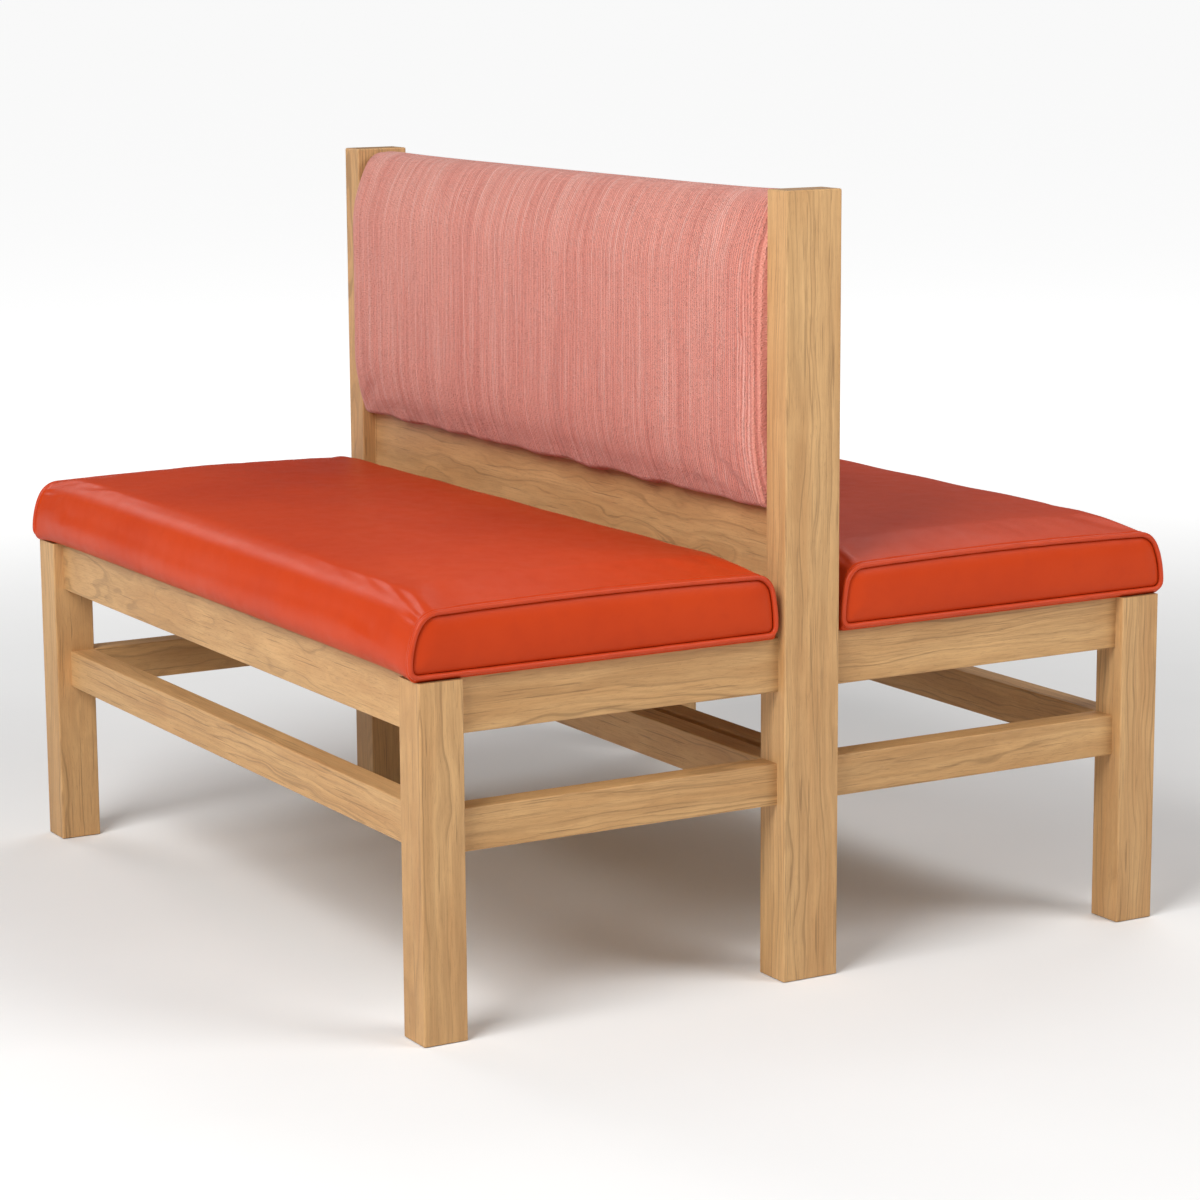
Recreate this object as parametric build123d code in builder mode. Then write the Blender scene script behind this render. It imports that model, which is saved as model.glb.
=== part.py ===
from build123d import *
import os
from collections import namedtuple
from math import atan, cos, degrees, radians, sin

# A restaurant booth bench with two seats set back to back on one timber frame.
# Millimetres. X runs along the bench, Y across both seats and Z up from the floor.
# The left seat faces -Y and the right seat +Y. The near end is at +X, the far end at -X.

# The whole bench, over the outer faces of its timber
bench_length = 1115.0
bench_width = 1010.0
post_height = 914.0
frame_height = 406.0

# Corner legs and the two centre posts, which are thinner above the seats
leg_x = 50.0
leg_y = 54.0
post_x = 52.0
post_upper_x = 41.0
post_y = 74.0

# Seat rails, stretchers and the two rails of the back
rail_height = 63.5
rail_thickness = 22.0
rail_setback = 14.0
stretcher_height = 49.0
stretcher_top = 258.0
stretcher_thickness = 34.0
centre_stretcher_gap = 12.0
back_rail_thickness = 37.0
back_rail_lap = 52.0
top_rail_height = 60.0

# Eased edges
edge_ease = 2.0
post_top_ease = 1.5

# Mortise and tenon joints
tenon_length = 26.0
tenon_thickness = 10.0
tenon_shoulder = 6.0
tenon_part = 3.0
tenon_fit = 0.1
glue_gap = 0.8
back_tenon_thickness = 14.0
back_tenon_shoulder = 15.0

# Reveal line and notch at the ends of the lower back rail
reveal_inset = 3.0
reveal_width = 1.0
reveal_depth = 1.0
notch_width = 4.0
notch_height = 6.0
notch_depth = 5.0
notch_rise = 61.0

# Rear ledgers, cross braces and corner blocks under the seats
brace_height = 40.0
ledger_thickness = 22.0
brace_thickness = 22.0
brace_tongue_length = 8.0
block_leg = 85.0

# Wood screws and their holes
screw_radius = 2.1
screw_head_radius = 4.0
screw_fit = 0.05
screw_bite = 16.0
counterbore_radius = 4.8
counterbore_depth = 8.0
block_web = 22.0
block_screw_place = 40.0
block_screw_stagger = 9.0
block_seat_screw_place = 26.0
ledger_screw_stagger = 10.0
board_screw_bite = 9.0
panel_screw_bite = 14.0
panel_screw_count = 5
ledger_seat_screw_share = 0.5
panel_screw_span_share = 0.9

# Nylon floor glides
glide_radius = 14.0
glide_proud = 1.0
glide_recess = 2.0
glide_pin_radius = 2.0
glide_pin_length = 14.0
glide_fit = 0.1

# Seat cushions, fuller in the middle than at their ends, front and back leaning in upwards
cushion_edge_height = 88.0
cushion_end_height = 76.0
cushion_lower_radius = 26.0
cushion_end_lower_radius = 8.0
cushion_front_radius = 30.0
cushion_front_angle = 25.0
cushion_back_radius = 26.0
cushion_back_angle = 12.0
cushion_bulge = 9.0
cushion_crown = 6.0
cushion_end_crown = 3.0
cushion_draw_in = 130.0
cushion_rear_gap = 8.0
cushion_end_gap = 2.5
draw_in_shares = [0.0, 0.06, 0.15, 0.3, 0.55, 1.0]
draw_in_fullness_shares = [0.0, 0.28, 0.55, 0.78, 0.93, 1.0]
cover_thickness = 1.2
cover_fit = 0.3
cover_hem = 30.0
seat_board_thickness = 12.0
seat_board_corner = 12.0

# Welt piping and the boxed end panels that it outlines
piping_radius = 3.2
piping_fit = 0.3
piping_border = 1.0
piping_corner = 12.0
piping_sink_share = 0.4
end_panel_crown = 3.0
end_panel_ease = 5.0

# Upholstered back between the posts
pad_bottom = 549.0
pad_crest_drop = 3.0
pad_bulge = 21.0
pad_end_bulge = 15.0
pad_draw_in = 26.0
pad_roll = 8.0
pad_roll_bulge_share = 0.7
pad_top_foam = 24.0
pad_side_radius = 180.0
pad_shoulder_radius = 30.0
pad_shoulder_angle = 30.0
pad_bottom_radius = 10.0
pad_foot_radius = 270.0
pad_bottom_angle = 71.0
panel_thickness = 9.0

# One overrun serves every cut that starts outside its piece
overrun = 5.0

# Places that follow from these sizes
half_length = bench_length / 2
half_width = bench_width / 2
half_post = post_y / 2
leg_inner_x = half_length - leg_x
leg_inner_y = half_width - leg_y
rail_bottom = frame_height - rail_height
rail_inner_x = half_length - rail_setback - rail_thickness
rail_inner_y = half_width - rail_setback - rail_thickness
post_inner_lower = half_length - post_x
post_inner_upper = half_length - post_upper_x
brace_bottom = frame_height - brace_height
ledger_inner_y = half_post + ledger_thickness
pad_top = post_height - pad_crest_drop
pad_half = post_inner_upper - cover_fit
top_rail_top = pad_top - cover_thickness - pad_top_foam
panel_bottom = pad_bottom + cover_thickness + cover_fit
panel_outer_y = back_rail_thickness / 2 + panel_thickness

ENDS = {"near": 1, "far": -1}
SIDES = {"left": -1, "right": 1}

os.makedirs("parts", exist_ok=True)


def save(piece, name):
    """Label a finished piece and write its STEP file."""
    piece.part.label = name
    export_step(piece.part, f"parts/{name}.step")


# Squared timber

def beam(along, start, stop, across, low, thickness, height, mode=Mode.ADD):
    """A squared length along X or Y. across is its mid-line, low its underside."""
    middle = (start + stop) / 2
    length = abs(stop - start)
    centre = (middle, across) if along == "x" else (across, middle)
    sides = (length, thickness) if along == "x" else (thickness, length)
    with BuildSketch(Plane.XY.offset(low)) as outline:
        with Locations(centre):
            Rectangle(*sides)
    extrude(outline.sketch, amount=height, mode=mode)


# A member runs from start to stop between the faces of its shoulders. One long tongue through
# it makes the tenons at both ends, and the same tongue with its fit cuts the mortises.
Member = namedtuple("Member", [
    "along", "start", "stop", "across", "low", "thickness", "height",
    "tongue_low", "tongue_height", "tongue_thickness", "tongue_length",
])


def half_height_tongue(low, height, along):
    """Where two members meet at one height, those along X take the upper half of the leg."""
    tall = height / 2 - tenon_shoulder - tenon_part / 2
    upper = low + height - tenon_shoulder - tall
    lower = low + tenon_shoulder
    return (upper if along == "x" else lower), tall


def frame_member(along, start, stop, across, low, thickness, height):
    """A seat rail or a stretcher, with tenons that pass each other inside the leg."""
    tongue_low, tongue_height = half_height_tongue(low, height, along)
    return Member(
        along, min(start, stop), max(start, stop), across, low, thickness, height,
        tongue_low, tongue_height, tenon_thickness, tenon_length,
    )


def front_rail(side):
    across = side * (half_width - rail_setback - rail_thickness / 2)
    return frame_member("x", -leg_inner_x, leg_inner_x, across, rail_bottom, rail_thickness, rail_height)


def end_rail(end, side):
    across = end * (half_length - rail_setback - rail_thickness / 2)
    return frame_member(
        "y", side * leg_inner_y, side * half_post, across, rail_bottom, rail_thickness, rail_height
    )


def front_stretcher(side):
    """Flush with the inner faces of the legs."""
    across = side * (leg_inner_y + stretcher_thickness / 2)
    low = stretcher_top - stretcher_height
    return frame_member("x", -leg_inner_x, leg_inner_x, across, low, stretcher_thickness, stretcher_height)


def end_stretcher(end, side):
    """Flush with the inner faces of the legs."""
    across = end * (leg_inner_x + stretcher_thickness / 2)
    low = stretcher_top - stretcher_height
    return frame_member(
        "y", side * leg_inner_y, side * half_post, across, low, stretcher_thickness, stretcher_height
    )


def centre_stretcher(side):
    """One of a pair between the posts, flush with their faces, a narrow gap between them."""
    thickness = (post_y - centre_stretcher_gap) / 2
    across = side * (half_post - thickness / 2)
    low = stretcher_top - stretcher_height
    return frame_member("x", -post_inner_lower, post_inner_lower, across, low, thickness, stretcher_height)


def back_member(low, height):
    """A rail of the back, between the upper posts."""
    return Member(
        "x", -post_inner_upper, post_inner_upper, 0, low, back_rail_thickness, height,
        low + back_tenon_shoulder, height - 2 * back_tenon_shoulder, back_tenon_thickness, tenon_length,
    )


def cross_brace(side):
    """Stiffens the seat board at its middle, housed in the front rail and the rear ledger."""
    start, stop = sorted([side * ledger_inner_y, side * rail_inner_y])
    tongue_height = brace_height - 2 * tenon_shoulder
    return Member(
        "y", start, stop, 0, brace_bottom, brace_thickness, brace_height,
        brace_bottom + tenon_shoulder, tongue_height, tenon_thickness, brace_tongue_length,
    )


lower_back_rail = back_member(frame_height, pad_bottom + back_rail_lap - frame_height)
top_back_rail = back_member(top_rail_top - top_rail_height, top_rail_height)


def shaped_member(member):
    """The member with its long edges eased and its tenons on."""
    beam(
        member.along, member.start, member.stop, member.across,
        member.low, member.thickness, member.height,
    )
    long_edges = edges().filter_by(Axis.X if member.along == "x" else Axis.Y)
    fillet(long_edges, radius=edge_ease)
    beam(
        member.along, member.start - member.tongue_length, member.stop + member.tongue_length, member.across,
        member.tongue_low, member.tongue_thickness, member.tongue_height,
    )


def cut_mortises(*members):
    """Cut the mortises for these members out of the leg or post in hand."""
    for member in members:
        reach = member.tongue_length + glue_gap
        beam(
            member.along, member.start - reach, member.stop + reach, member.across,
            member.tongue_low - tenon_fit, member.tongue_thickness + 2 * tenon_fit,
            member.tongue_height + 2 * tenon_fit, mode=Mode.SUBTRACT,
        )


# Wood screws. The plane lies on top of the head and its normal points into the wood.

def screw(plane, length, grow=0.0, bore=0.0, mode=Mode.ADD):
    """A countersunk wood screw, or with grow and mode its hole, counterbored by bore."""
    radius = screw_radius + grow
    head_radius = screw_head_radius + grow
    with BuildSketch(plane) as shank:
        Circle(radius)
    extrude(shank.sketch, amount=length + grow, mode=mode)
    with BuildSketch(plane) as head:
        Circle(head_radius)
    with BuildSketch(plane.offset(head_radius - radius)) as neck:
        Circle(radius)
    loft(sections=[head.sketch, neck.sketch], mode=mode)
    if bore:
        with BuildSketch(plane) as mouth:
            Circle(counterbore_radius)
        extrude(mouth.sketch, amount=-bore, mode=mode)


def aimed(x, y, z, direction):
    """A plane at a point, with its normal along the direction."""
    return Plane(origin=(x, y, z), z_dir=direction)


block_middle = frame_height - brace_height / 2
block_screw_length = block_web + screw_bite
block_bore = block_leg - block_screw_place - block_web + overrun
block_screw_planes = []
for end in ENDS.values():
    for side in SIDES.values():
        into_front_rail = aimed(
            end * (rail_inner_x - block_screw_place), side * (rail_inner_y - block_web),
            block_middle + block_screw_stagger, (0, side, 0),
        )
        into_end_rail = aimed(
            end * (rail_inner_x - block_web), side * (rail_inner_y - block_screw_place),
            block_middle - block_screw_stagger, (end, 0, 0),
        )
        block_screw_planes += [into_front_rail, into_end_rail]

ledger_screw_x = (post_inner_lower + rail_inner_x) / 2
ledger_screw_length = ledger_thickness + screw_bite
ledger_screw_planes = [
    aimed(end * ledger_screw_x, side * ledger_inner_y, block_middle + rise, (0, -side, 0))
    for end in ENDS.values()
    for side in SIDES.values()
    for rise in (-ledger_screw_stagger, ledger_screw_stagger)
]

seat_screw_z = brace_bottom + counterbore_depth
seat_screw_length = frame_height + cover_thickness + board_screw_bite - seat_screw_z
seat_screw_planes = []
for side in SIDES.values():
    ledger_middle = side * (half_post + ledger_thickness / 2)
    brace_middle = side * (ledger_inner_y + rail_inner_y) / 2
    seat_screw_planes.append(aimed(0, brace_middle, seat_screw_z, (0, 0, 1)))
    for end in ENDS.values():
        block_x = end * (rail_inner_x - block_seat_screw_place)
        block_y = side * (rail_inner_y - block_seat_screw_place)
        seat_screw_planes.append(aimed(block_x, block_y, seat_screw_z, (0, 0, 1)))
        ledger_x = end * rail_inner_x * ledger_seat_screw_share
        seat_screw_planes.append(aimed(ledger_x, ledger_middle, seat_screw_z, (0, 0, 1)))

panel_screw_length = panel_thickness + panel_screw_bite
panel_screw_rows = [pad_bottom + back_rail_lap / 2, top_rail_top - top_rail_height / 2]
panel_screw_reach = pad_half * panel_screw_span_share
panel_screw_step = 2 * panel_screw_reach / (panel_screw_count - 1)
panel_screw_planes = [
    aimed(turn * panel_screw_step - panel_screw_reach, side * panel_outer_y, row, (0, -side, 0))
    for side in SIDES.values()
    for row in panel_screw_rows
    for turn in range(panel_screw_count)
]

SCREW_GROUPS = {
    "corner_block_screws": (block_screw_planes, block_screw_length, block_bore),
    "ledger_screws": (ledger_screw_planes, ledger_screw_length, 0),
    "seat_screws": (seat_screw_planes, seat_screw_length, counterbore_depth + overrun),
    "back_panel_screws": (panel_screw_planes, panel_screw_length, 0),
}

screw_holes = {}
for name, (planes, length, bore) in SCREW_GROUPS.items():
    with BuildPart() as screws:
        for plane in planes:
            screw(plane, length)
    save(screws, name)
    with BuildPart() as holes:
        for plane in planes:
            screw(plane, length, grow=screw_fit, bore=bore)
    screw_holes[name] = holes.part


# Floor glides: a nylon disc with a pin, pressed into the foot of each leg and post

def glide(x, y, grow=0.0, mode=Mode.ADD):
    """One glide, or with grow and mode its socket."""
    with BuildSketch() as disc:
        with Locations((x, y)):
            Circle(glide_radius + grow)
    extrude(disc.sketch, amount=glide_proud + glide_recess + grow, mode=mode)
    with BuildSketch() as pin:
        with Locations((x, y)):
            Circle(glide_pin_radius + grow)
    extrude(pin.sketch, amount=glide_proud + glide_recess + glide_pin_length + grow, mode=mode)


leg_x_middle = half_length - leg_x / 2
leg_y_middle = half_width - leg_y / 2
post_x_middle = half_length - post_x / 2

with BuildPart() as floor_glides:
    for end in ENDS.values():
        glide(end * post_x_middle, 0)
        for side in SIDES.values():
            glide(end * leg_x_middle, side * leg_y_middle)
save(floor_glides, "floor_glides")


# Four corner legs
for end_name, end in ENDS.items():
    for side_name, side in SIDES.items():
        with BuildPart() as leg:
            beam(
                "x", end * leg_inner_x, end * half_length, side * leg_y_middle,
                glide_proud, leg_y, frame_height - glide_proud,
            )
            fillet(edges().filter_by(Axis.Z), radius=edge_ease)
            cut_mortises(front_rail(side), end_rail(end, side))
            cut_mortises(front_stretcher(side), end_stretcher(end, side))
            glide(end * leg_x_middle, side * leg_y_middle, grow=glide_fit, mode=Mode.SUBTRACT)
        save(leg, f"{end_name}_{side_name}_leg")

# Two centre posts. The shoulder where each grows thinner carries the lower rail of the back.
for end_name, end in ENDS.items():
    with BuildPart() as post:
        lower_height = frame_height - glide_proud
        upper_height = post_height - frame_height
        beam("x", end * post_inner_lower, end * half_length, 0, glide_proud, post_y, lower_height)
        beam("x", end * post_inner_upper, end * half_length, 0, frame_height, post_y, upper_height)
        fillet(edges().filter_by(Axis.Z), radius=edge_ease)
        chamfer(faces().sort_by(Axis.Z)[-1].edges(), length=post_top_ease)
        cut_mortises(lower_back_rail, top_back_rail)
        for side in SIDES.values():
            cut_mortises(end_rail(end, side), end_stretcher(end, side), centre_stretcher(side))
        add(screw_holes["ledger_screws"], mode=Mode.SUBTRACT)
        glide(end * post_x_middle, 0, grow=glide_fit, mode=Mode.SUBTRACT)
    save(post, f"{end_name}_centre_post")

# Seat rails and stretchers
for side_name, side in SIDES.items():
    with BuildPart() as rail:
        shaped_member(front_rail(side))
        cut_mortises(cross_brace(side))
        add(screw_holes["corner_block_screws"], mode=Mode.SUBTRACT)
    save(rail, f"{side_name}_front_rail")

    with BuildPart() as stretcher:
        shaped_member(front_stretcher(side))
    save(stretcher, f"{side_name}_front_stretcher")

    with BuildPart() as stretcher:
        shaped_member(centre_stretcher(side))
    save(stretcher, f"{side_name}_centre_stretcher")

    for end_name, end in ENDS.items():
        with BuildPart() as rail:
            shaped_member(end_rail(end, side))
            add(screw_holes["corner_block_screws"], mode=Mode.SUBTRACT)
        save(rail, f"{end_name}_{side_name}_end_rail")

        with BuildPart() as stretcher:
            shaped_member(end_stretcher(end, side))
        save(stretcher, f"{end_name}_{side_name}_end_stretcher")

# Rear ledgers on the faces of the posts, and the cross braces between ledger and front rail
for side_name, side in SIDES.items():
    with BuildPart() as ledger:
        ledger_middle = side * (half_post + ledger_thickness / 2)
        beam("x", -rail_inner_x, rail_inner_x, ledger_middle, brace_bottom, ledger_thickness, brace_height)
        cut_mortises(cross_brace(side))
        add(screw_holes["ledger_screws"], mode=Mode.SUBTRACT)
        add(screw_holes["seat_screws"], mode=Mode.SUBTRACT)
    save(ledger, f"{side_name}_rear_ledger")

    with BuildPart() as brace:
        shaped_member(cross_brace(side))
        add(screw_holes["seat_screws"], mode=Mode.SUBTRACT)
    save(brace, f"{side_name}_cross_brace")

# Corner blocks, glued and screwed behind each leg, notched round its inner corner
leg_step_x = rail_inner_x - leg_inner_x + tenon_fit
leg_step_y = rail_inner_y - leg_inner_y + tenon_fit
block_outline = [
    (leg_step_x, 0), (block_leg, 0), (0, block_leg),
    (0, leg_step_y), (leg_step_x, leg_step_y), (leg_step_x, 0),
]
for end_name, end in ENDS.items():
    for side_name, side in SIDES.items():
        corners = [
            (end * (rail_inner_x - inward), side * (rail_inner_y - back))
            for inward, back in block_outline
        ]
        with BuildPart() as block:
            with BuildSketch(Plane.XY.offset(brace_bottom)):
                with BuildLine():
                    Polyline(*corners)
                make_face()
            extrude(amount=brace_height)
            add(screw_holes["corner_block_screws"], mode=Mode.SUBTRACT)
            add(screw_holes["seat_screws"], mode=Mode.SUBTRACT)
        save(block, f"{end_name}_{side_name}_corner_block")


# Seat cushions: a plywood board, foam, a cover panel that wraps over from back to front, and
# boxed end panels outlined by piping. Each section is drawn at its place along X.
seat_rear = half_post + cushion_rear_gap
seam_x = half_length - cushion_end_gap - piping_radius
wrap_half = seam_x - piping_radius - piping_fit
board_top = frame_height + cover_thickness + seat_board_thickness


def leaning_side(height, top_radius, angle):
    """Radius and draw-in of a side that leans in by the angle under a rounded top edge."""
    lean = radians(angle)
    radius = (height - top_radius * (1 - sin(lean))) / sin(lean)
    return radius, radius * (1 - cos(lean)) + top_radius * cos(lean)


def seat_outline(x, side, inset, base, height, crown, lower, rounded_heel=False):
    """The cushion's section, drawn in by inset, with its underside raised by base. lower rounds
    its lower front corner, and the rear one too where the heel is rounded."""
    underside = frame_height + base
    widest = half_width + cushion_bulge - inset
    rear = seat_rear + inset
    front_radius = cushion_front_radius - inset
    back_radius = cushion_back_radius - inset
    side_height = height - inset - base - lower
    face_radius, face_draw_in = leaning_side(side_height, front_radius, cushion_front_angle)
    rear_radius, rear_draw_in = leaning_side(side_height, back_radius, cushion_back_angle)
    level_span = widest - face_draw_in - rear - rear_draw_in
    tilt = 2 * atan(2 * crown / level_span)
    top_span = level_span + (front_radius + back_radius) * sin(tilt)
    top_radius = top_span / (2 * sin(tilt))
    front_turn = 90 - cushion_front_angle - degrees(tilt)
    back_turn = 90 - cushion_back_angle - degrees(tilt)
    toe = (side * (widest - lower), underside)
    heel = (side * rear, underside)
    with BuildSketch(Plane.YZ.offset(x)) as outline:
        with BuildLine():
            corner = JernArc(toe, (side, 0), lower, side * 90)
            face = JernArc(corner @ 1, corner % 1, face_radius, side * cushion_front_angle)
            shoulder = JernArc(face @ 1, face % 1, front_radius, side * front_turn)
            top = JernArc(shoulder @ 1, shoulder % 1, top_radius, side * 2 * degrees(tilt))
            back = JernArc(top @ 1, top % 1, back_radius, side * back_turn)
            behind = JernArc(back @ 1, back % 1, rear_radius, side * cushion_back_angle)
            if rounded_heel:
                last = JernArc(behind @ 1, behind % 1, lower, side * 90)
            else:
                last = Line(behind @ 1, heel)
            Line(last @ 1, toe)
        make_face()
    return outline.sketch


def seat_form(side, inset):
    """The stuffed body of the cushion between its two end seams, drawn in towards them."""
    drawn = [
        (wrap_half - cushion_draw_in * share, full)
        for share, full in zip(draw_in_shares, draw_in_fullness_shares)
    ]
    sections = []
    for x, full in [(-x, full) for x, full in drawn] + drawn[::-1]:
        height = cushion_end_height + (cushion_edge_height - cushion_end_height) * full
        crown = cushion_end_crown + (cushion_crown - cushion_end_crown) * full
        lower = cushion_end_lower_radius + (cushion_lower_radius - cushion_end_lower_radius) * full
        sections.append(seat_outline(x, side, inset, inset, height, crown, lower - inset))
    loft(sections=sections, ruled=True)


def seam_outline(x, side, inset):
    """The outline of the end seam, above the border that wraps under the cushion."""
    base = piping_border + piping_radius + inset
    corner = piping_corner - inset
    return seat_outline(
        x, side, inset, base, cushion_end_height, cushion_end_crown, corner, rounded_heel=True
    )


piping_sink = piping_radius * piping_sink_share
panel_inset = piping_sink + piping_radius + piping_fit
panel_foot_x = seam_x - piping_sink

for side_name, side in SIDES.items():
    board_rear = seat_rear + cover_thickness + cover_fit
    board_front = half_width + cushion_bulge - cushion_lower_radius - cover_fit
    board_middle = side * (board_rear + board_front) / 2
    board_depth = board_front - board_rear
    board_base = frame_height + cover_thickness
    with BuildPart() as board:
        beam("x", -wrap_half, wrap_half, board_middle, board_base, board_depth, seat_board_thickness)
        fillet(edges().filter_by(Axis.Z), radius=seat_board_corner)
        add(screw_holes["seat_screws"], mode=Mode.SUBTRACT)
    save(board, f"{side_name}_seat_board")

    with BuildPart() as foam:
        seat_form(side, cover_thickness + cover_fit)
        for end in ENDS.values():
            foot = seam_outline(end * wrap_half, side, panel_inset + cover_fit)
            extrude(foot, amount=end * (panel_foot_x - wrap_half))
        beam(
            "x", -half_length, half_length, side * (board_front + cover_fit) / 2,
            frame_height, board_front + cover_fit, board_top - frame_height, mode=Mode.SUBTRACT,
        )
    save(foam, f"{side_name}_seat_foam")

    with BuildPart() as wrap:
        seat_form(side, 0)
        with BuildPart(mode=Mode.PRIVATE) as hollow:
            seat_form(side, cover_thickness)
        add(hollow.part, mode=Mode.SUBTRACT)
        beam(
            "x", cover_hem - wrap_half, wrap_half - cover_hem, board_middle,
            frame_height - overrun, board_depth - 2 * cover_hem, 2 * overrun, mode=Mode.SUBTRACT,
        )
        add(screw_holes["seat_screws"], mode=Mode.SUBTRACT)
    save(wrap, f"{side_name}_seat_wrap_panel")

    for end_name, end in ENDS.items():
        with BuildPart() as panel:
            eased = panel_foot_x + end_panel_crown
            loft(
                sections=[
                    seam_outline(end * panel_foot_x, side, panel_inset),
                    seam_outline(end * eased, side, panel_inset + end_panel_ease),
                ],
                ruled=True,
            )
        save(panel, f"{end_name}_{side_name}_seat_end_panel")

        with BuildPart() as piping:
            line = seam_outline(end * seam_x, side, piping_sink).faces()[0].outer_wire()
            with BuildSketch(Plane(origin=line @ 0, z_dir=line % 0)) as cord:
                Circle(piping_radius)
            sweep(sections=cord.sketch, path=line)
        save(piping, f"{end_name}_{side_name}_seat_piping")


# The back: two rails between the posts, a plywood panel on each side of them, foam over both
# panels and over the top rail, and one fabric cover that wraps over the top.
with BuildPart() as rail:
    shaped_member(lower_back_rail)
    reveal_x = post_inner_upper - reveal_inset
    for end in ENDS.values():
        for side in SIDES.values():
            rail_face = side * back_rail_thickness / 2
            beam(
                "x", end * reveal_x, end * (reveal_x - reveal_width), rail_face,
                frame_height, 2 * reveal_depth, lower_back_rail.height, mode=Mode.SUBTRACT,
            )
            beam(
                "x", end * reveal_x, end * (reveal_x - notch_width), rail_face,
                frame_height + notch_rise, 2 * notch_depth, notch_height, mode=Mode.SUBTRACT,
            )
    add(screw_holes["back_panel_screws"], mode=Mode.SUBTRACT)
save(rail, "back_lower_rail")

with BuildPart() as rail:
    shaped_member(top_back_rail)
    add(screw_holes["back_panel_screws"], mode=Mode.SUBTRACT)
save(rail, "back_top_rail")


def pad_outline(x, inset, bulge):
    """The section of the upholstered back, the same on both seats' sides."""
    widest = half_post + bulge - inset
    crest = pad_top - inset
    underside = pad_bottom + inset
    side_radius = pad_side_radius - inset
    shoulder_radius = pad_shoulder_radius - inset
    foot_radius = pad_foot_radius - inset
    bottom_radius = pad_bottom_radius - inset
    turn = radians(pad_shoulder_angle)
    tuck = radians(pad_bottom_angle)
    flat = widest - bottom_radius * sin(tuck) - foot_radius * (1 - sin(tuck))
    side_top = crest - side_radius * sin(turn) - shoulder_radius * (1 - sin(turn))
    with BuildSketch(Plane.YZ.offset(x)) as outline:
        with BuildLine():
            corner = JernArc((flat, underside), (1, 0), bottom_radius, pad_bottom_angle)
            foot = JernArc(corner @ 1, corner % 1, foot_radius, 90 - pad_bottom_angle)
            face = Line(foot @ 1, (widest, side_top))
            slope = JernArc(face @ 1, face % 1, side_radius, pad_shoulder_angle)
            shoulder = JernArc(slope @ 1, slope % 1, shoulder_radius, 90 - pad_shoulder_angle)
            mirror(about=Plane.YZ)
            Line(shoulder @ 1, (-(shoulder @ 1).X, crest))
            Line((-flat, underside), (flat, underside))
        make_face()
    return outline.sketch


def pad_form(inset):
    """The upholstered back between the posts, rolled in at both ends."""
    roll_bulge = pad_end_bulge + (pad_bulge - pad_end_bulge) * pad_roll_bulge_share
    rolled_end = [
        (pad_half, pad_end_bulge), (pad_half - pad_roll, roll_bulge), (pad_half - pad_draw_in, pad_bulge),
    ]
    places = [(-x, bulge) for x, bulge in rolled_end] + rolled_end[::-1]
    loft(sections=[pad_outline(x, inset, bulge) for x, bulge in places], ruled=True)


pad_height = pad_top - pad_bottom
panel_height = top_rail_top - panel_bottom
foam_inset = cover_thickness + cover_fit
foam_depth = half_post + pad_bulge

for side_name, side in SIDES.items():
    with BuildPart() as panel:
        panel_middle = side * (panel_outer_y - panel_thickness / 2)
        beam("x", -pad_half, pad_half, panel_middle, panel_bottom, panel_thickness, panel_height)
        add(screw_holes["back_panel_screws"], mode=Mode.SUBTRACT)
    save(panel, f"{side_name}_back_panel")

    with BuildPart() as foam:
        pad_form(foam_inset)
        beam(
            "x", -half_length, half_length, side * (panel_outer_y + foam_depth / 2),
            panel_bottom, foam_depth, panel_height, mode=Mode.INTERSECT,
        )
    save(foam, f"{side_name}_back_foam")

with BuildPart() as foam:
    pad_form(foam_inset)
    beam("x", -half_length, half_length, 0, top_rail_top, 2 * foam_depth, pad_height, mode=Mode.INTERSECT)
save(foam, "back_top_foam")

with BuildPart() as cover:
    pad_form(0)
    with BuildPart(mode=Mode.PRIVATE) as hollow:
        pad_form(cover_thickness)
    add(hollow.part, mode=Mode.SUBTRACT)
    beam(
        "x", -half_length, half_length, 0,
        pad_bottom - overrun, back_rail_thickness + 2 * cover_fit, 2 * overrun, mode=Mode.SUBTRACT,
    )
save(cover, "back_cover")
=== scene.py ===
from math import atan, cos, exp, pi, radians, sin, sqrt

import bmesh
import bpy
import numpy as np
from mathutils import Matrix, Vector


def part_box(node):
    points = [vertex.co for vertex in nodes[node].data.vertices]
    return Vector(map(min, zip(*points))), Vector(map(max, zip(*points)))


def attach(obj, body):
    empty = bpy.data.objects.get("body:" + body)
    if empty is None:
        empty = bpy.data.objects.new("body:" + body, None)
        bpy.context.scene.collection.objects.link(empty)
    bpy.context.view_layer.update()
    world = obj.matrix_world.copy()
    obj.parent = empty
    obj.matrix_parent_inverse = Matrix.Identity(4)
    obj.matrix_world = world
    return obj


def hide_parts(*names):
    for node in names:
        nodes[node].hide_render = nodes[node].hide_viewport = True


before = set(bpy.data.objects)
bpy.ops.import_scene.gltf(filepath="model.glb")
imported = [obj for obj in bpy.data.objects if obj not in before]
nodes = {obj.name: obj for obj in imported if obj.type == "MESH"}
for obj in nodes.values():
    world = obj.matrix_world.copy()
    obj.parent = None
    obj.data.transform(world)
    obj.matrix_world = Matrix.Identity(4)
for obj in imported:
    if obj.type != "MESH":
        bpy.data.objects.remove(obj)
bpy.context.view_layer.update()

# Standpoint. The bench is seen past the end of its left seat, from a little above the top of the
# back and from about four metres away, with a long lens.
VIEW_YAW = radians(-59.82)
VIEW_FALL = radians(10.54)
VIEW_ROLL = radians(-0.34)
STANDPOINT = (3.7537, -2.1392, 1.1639)
LENS_MM, SENSOR_MM = 102.7, 36.0
SIGHT_REACH = 500.0
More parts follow.
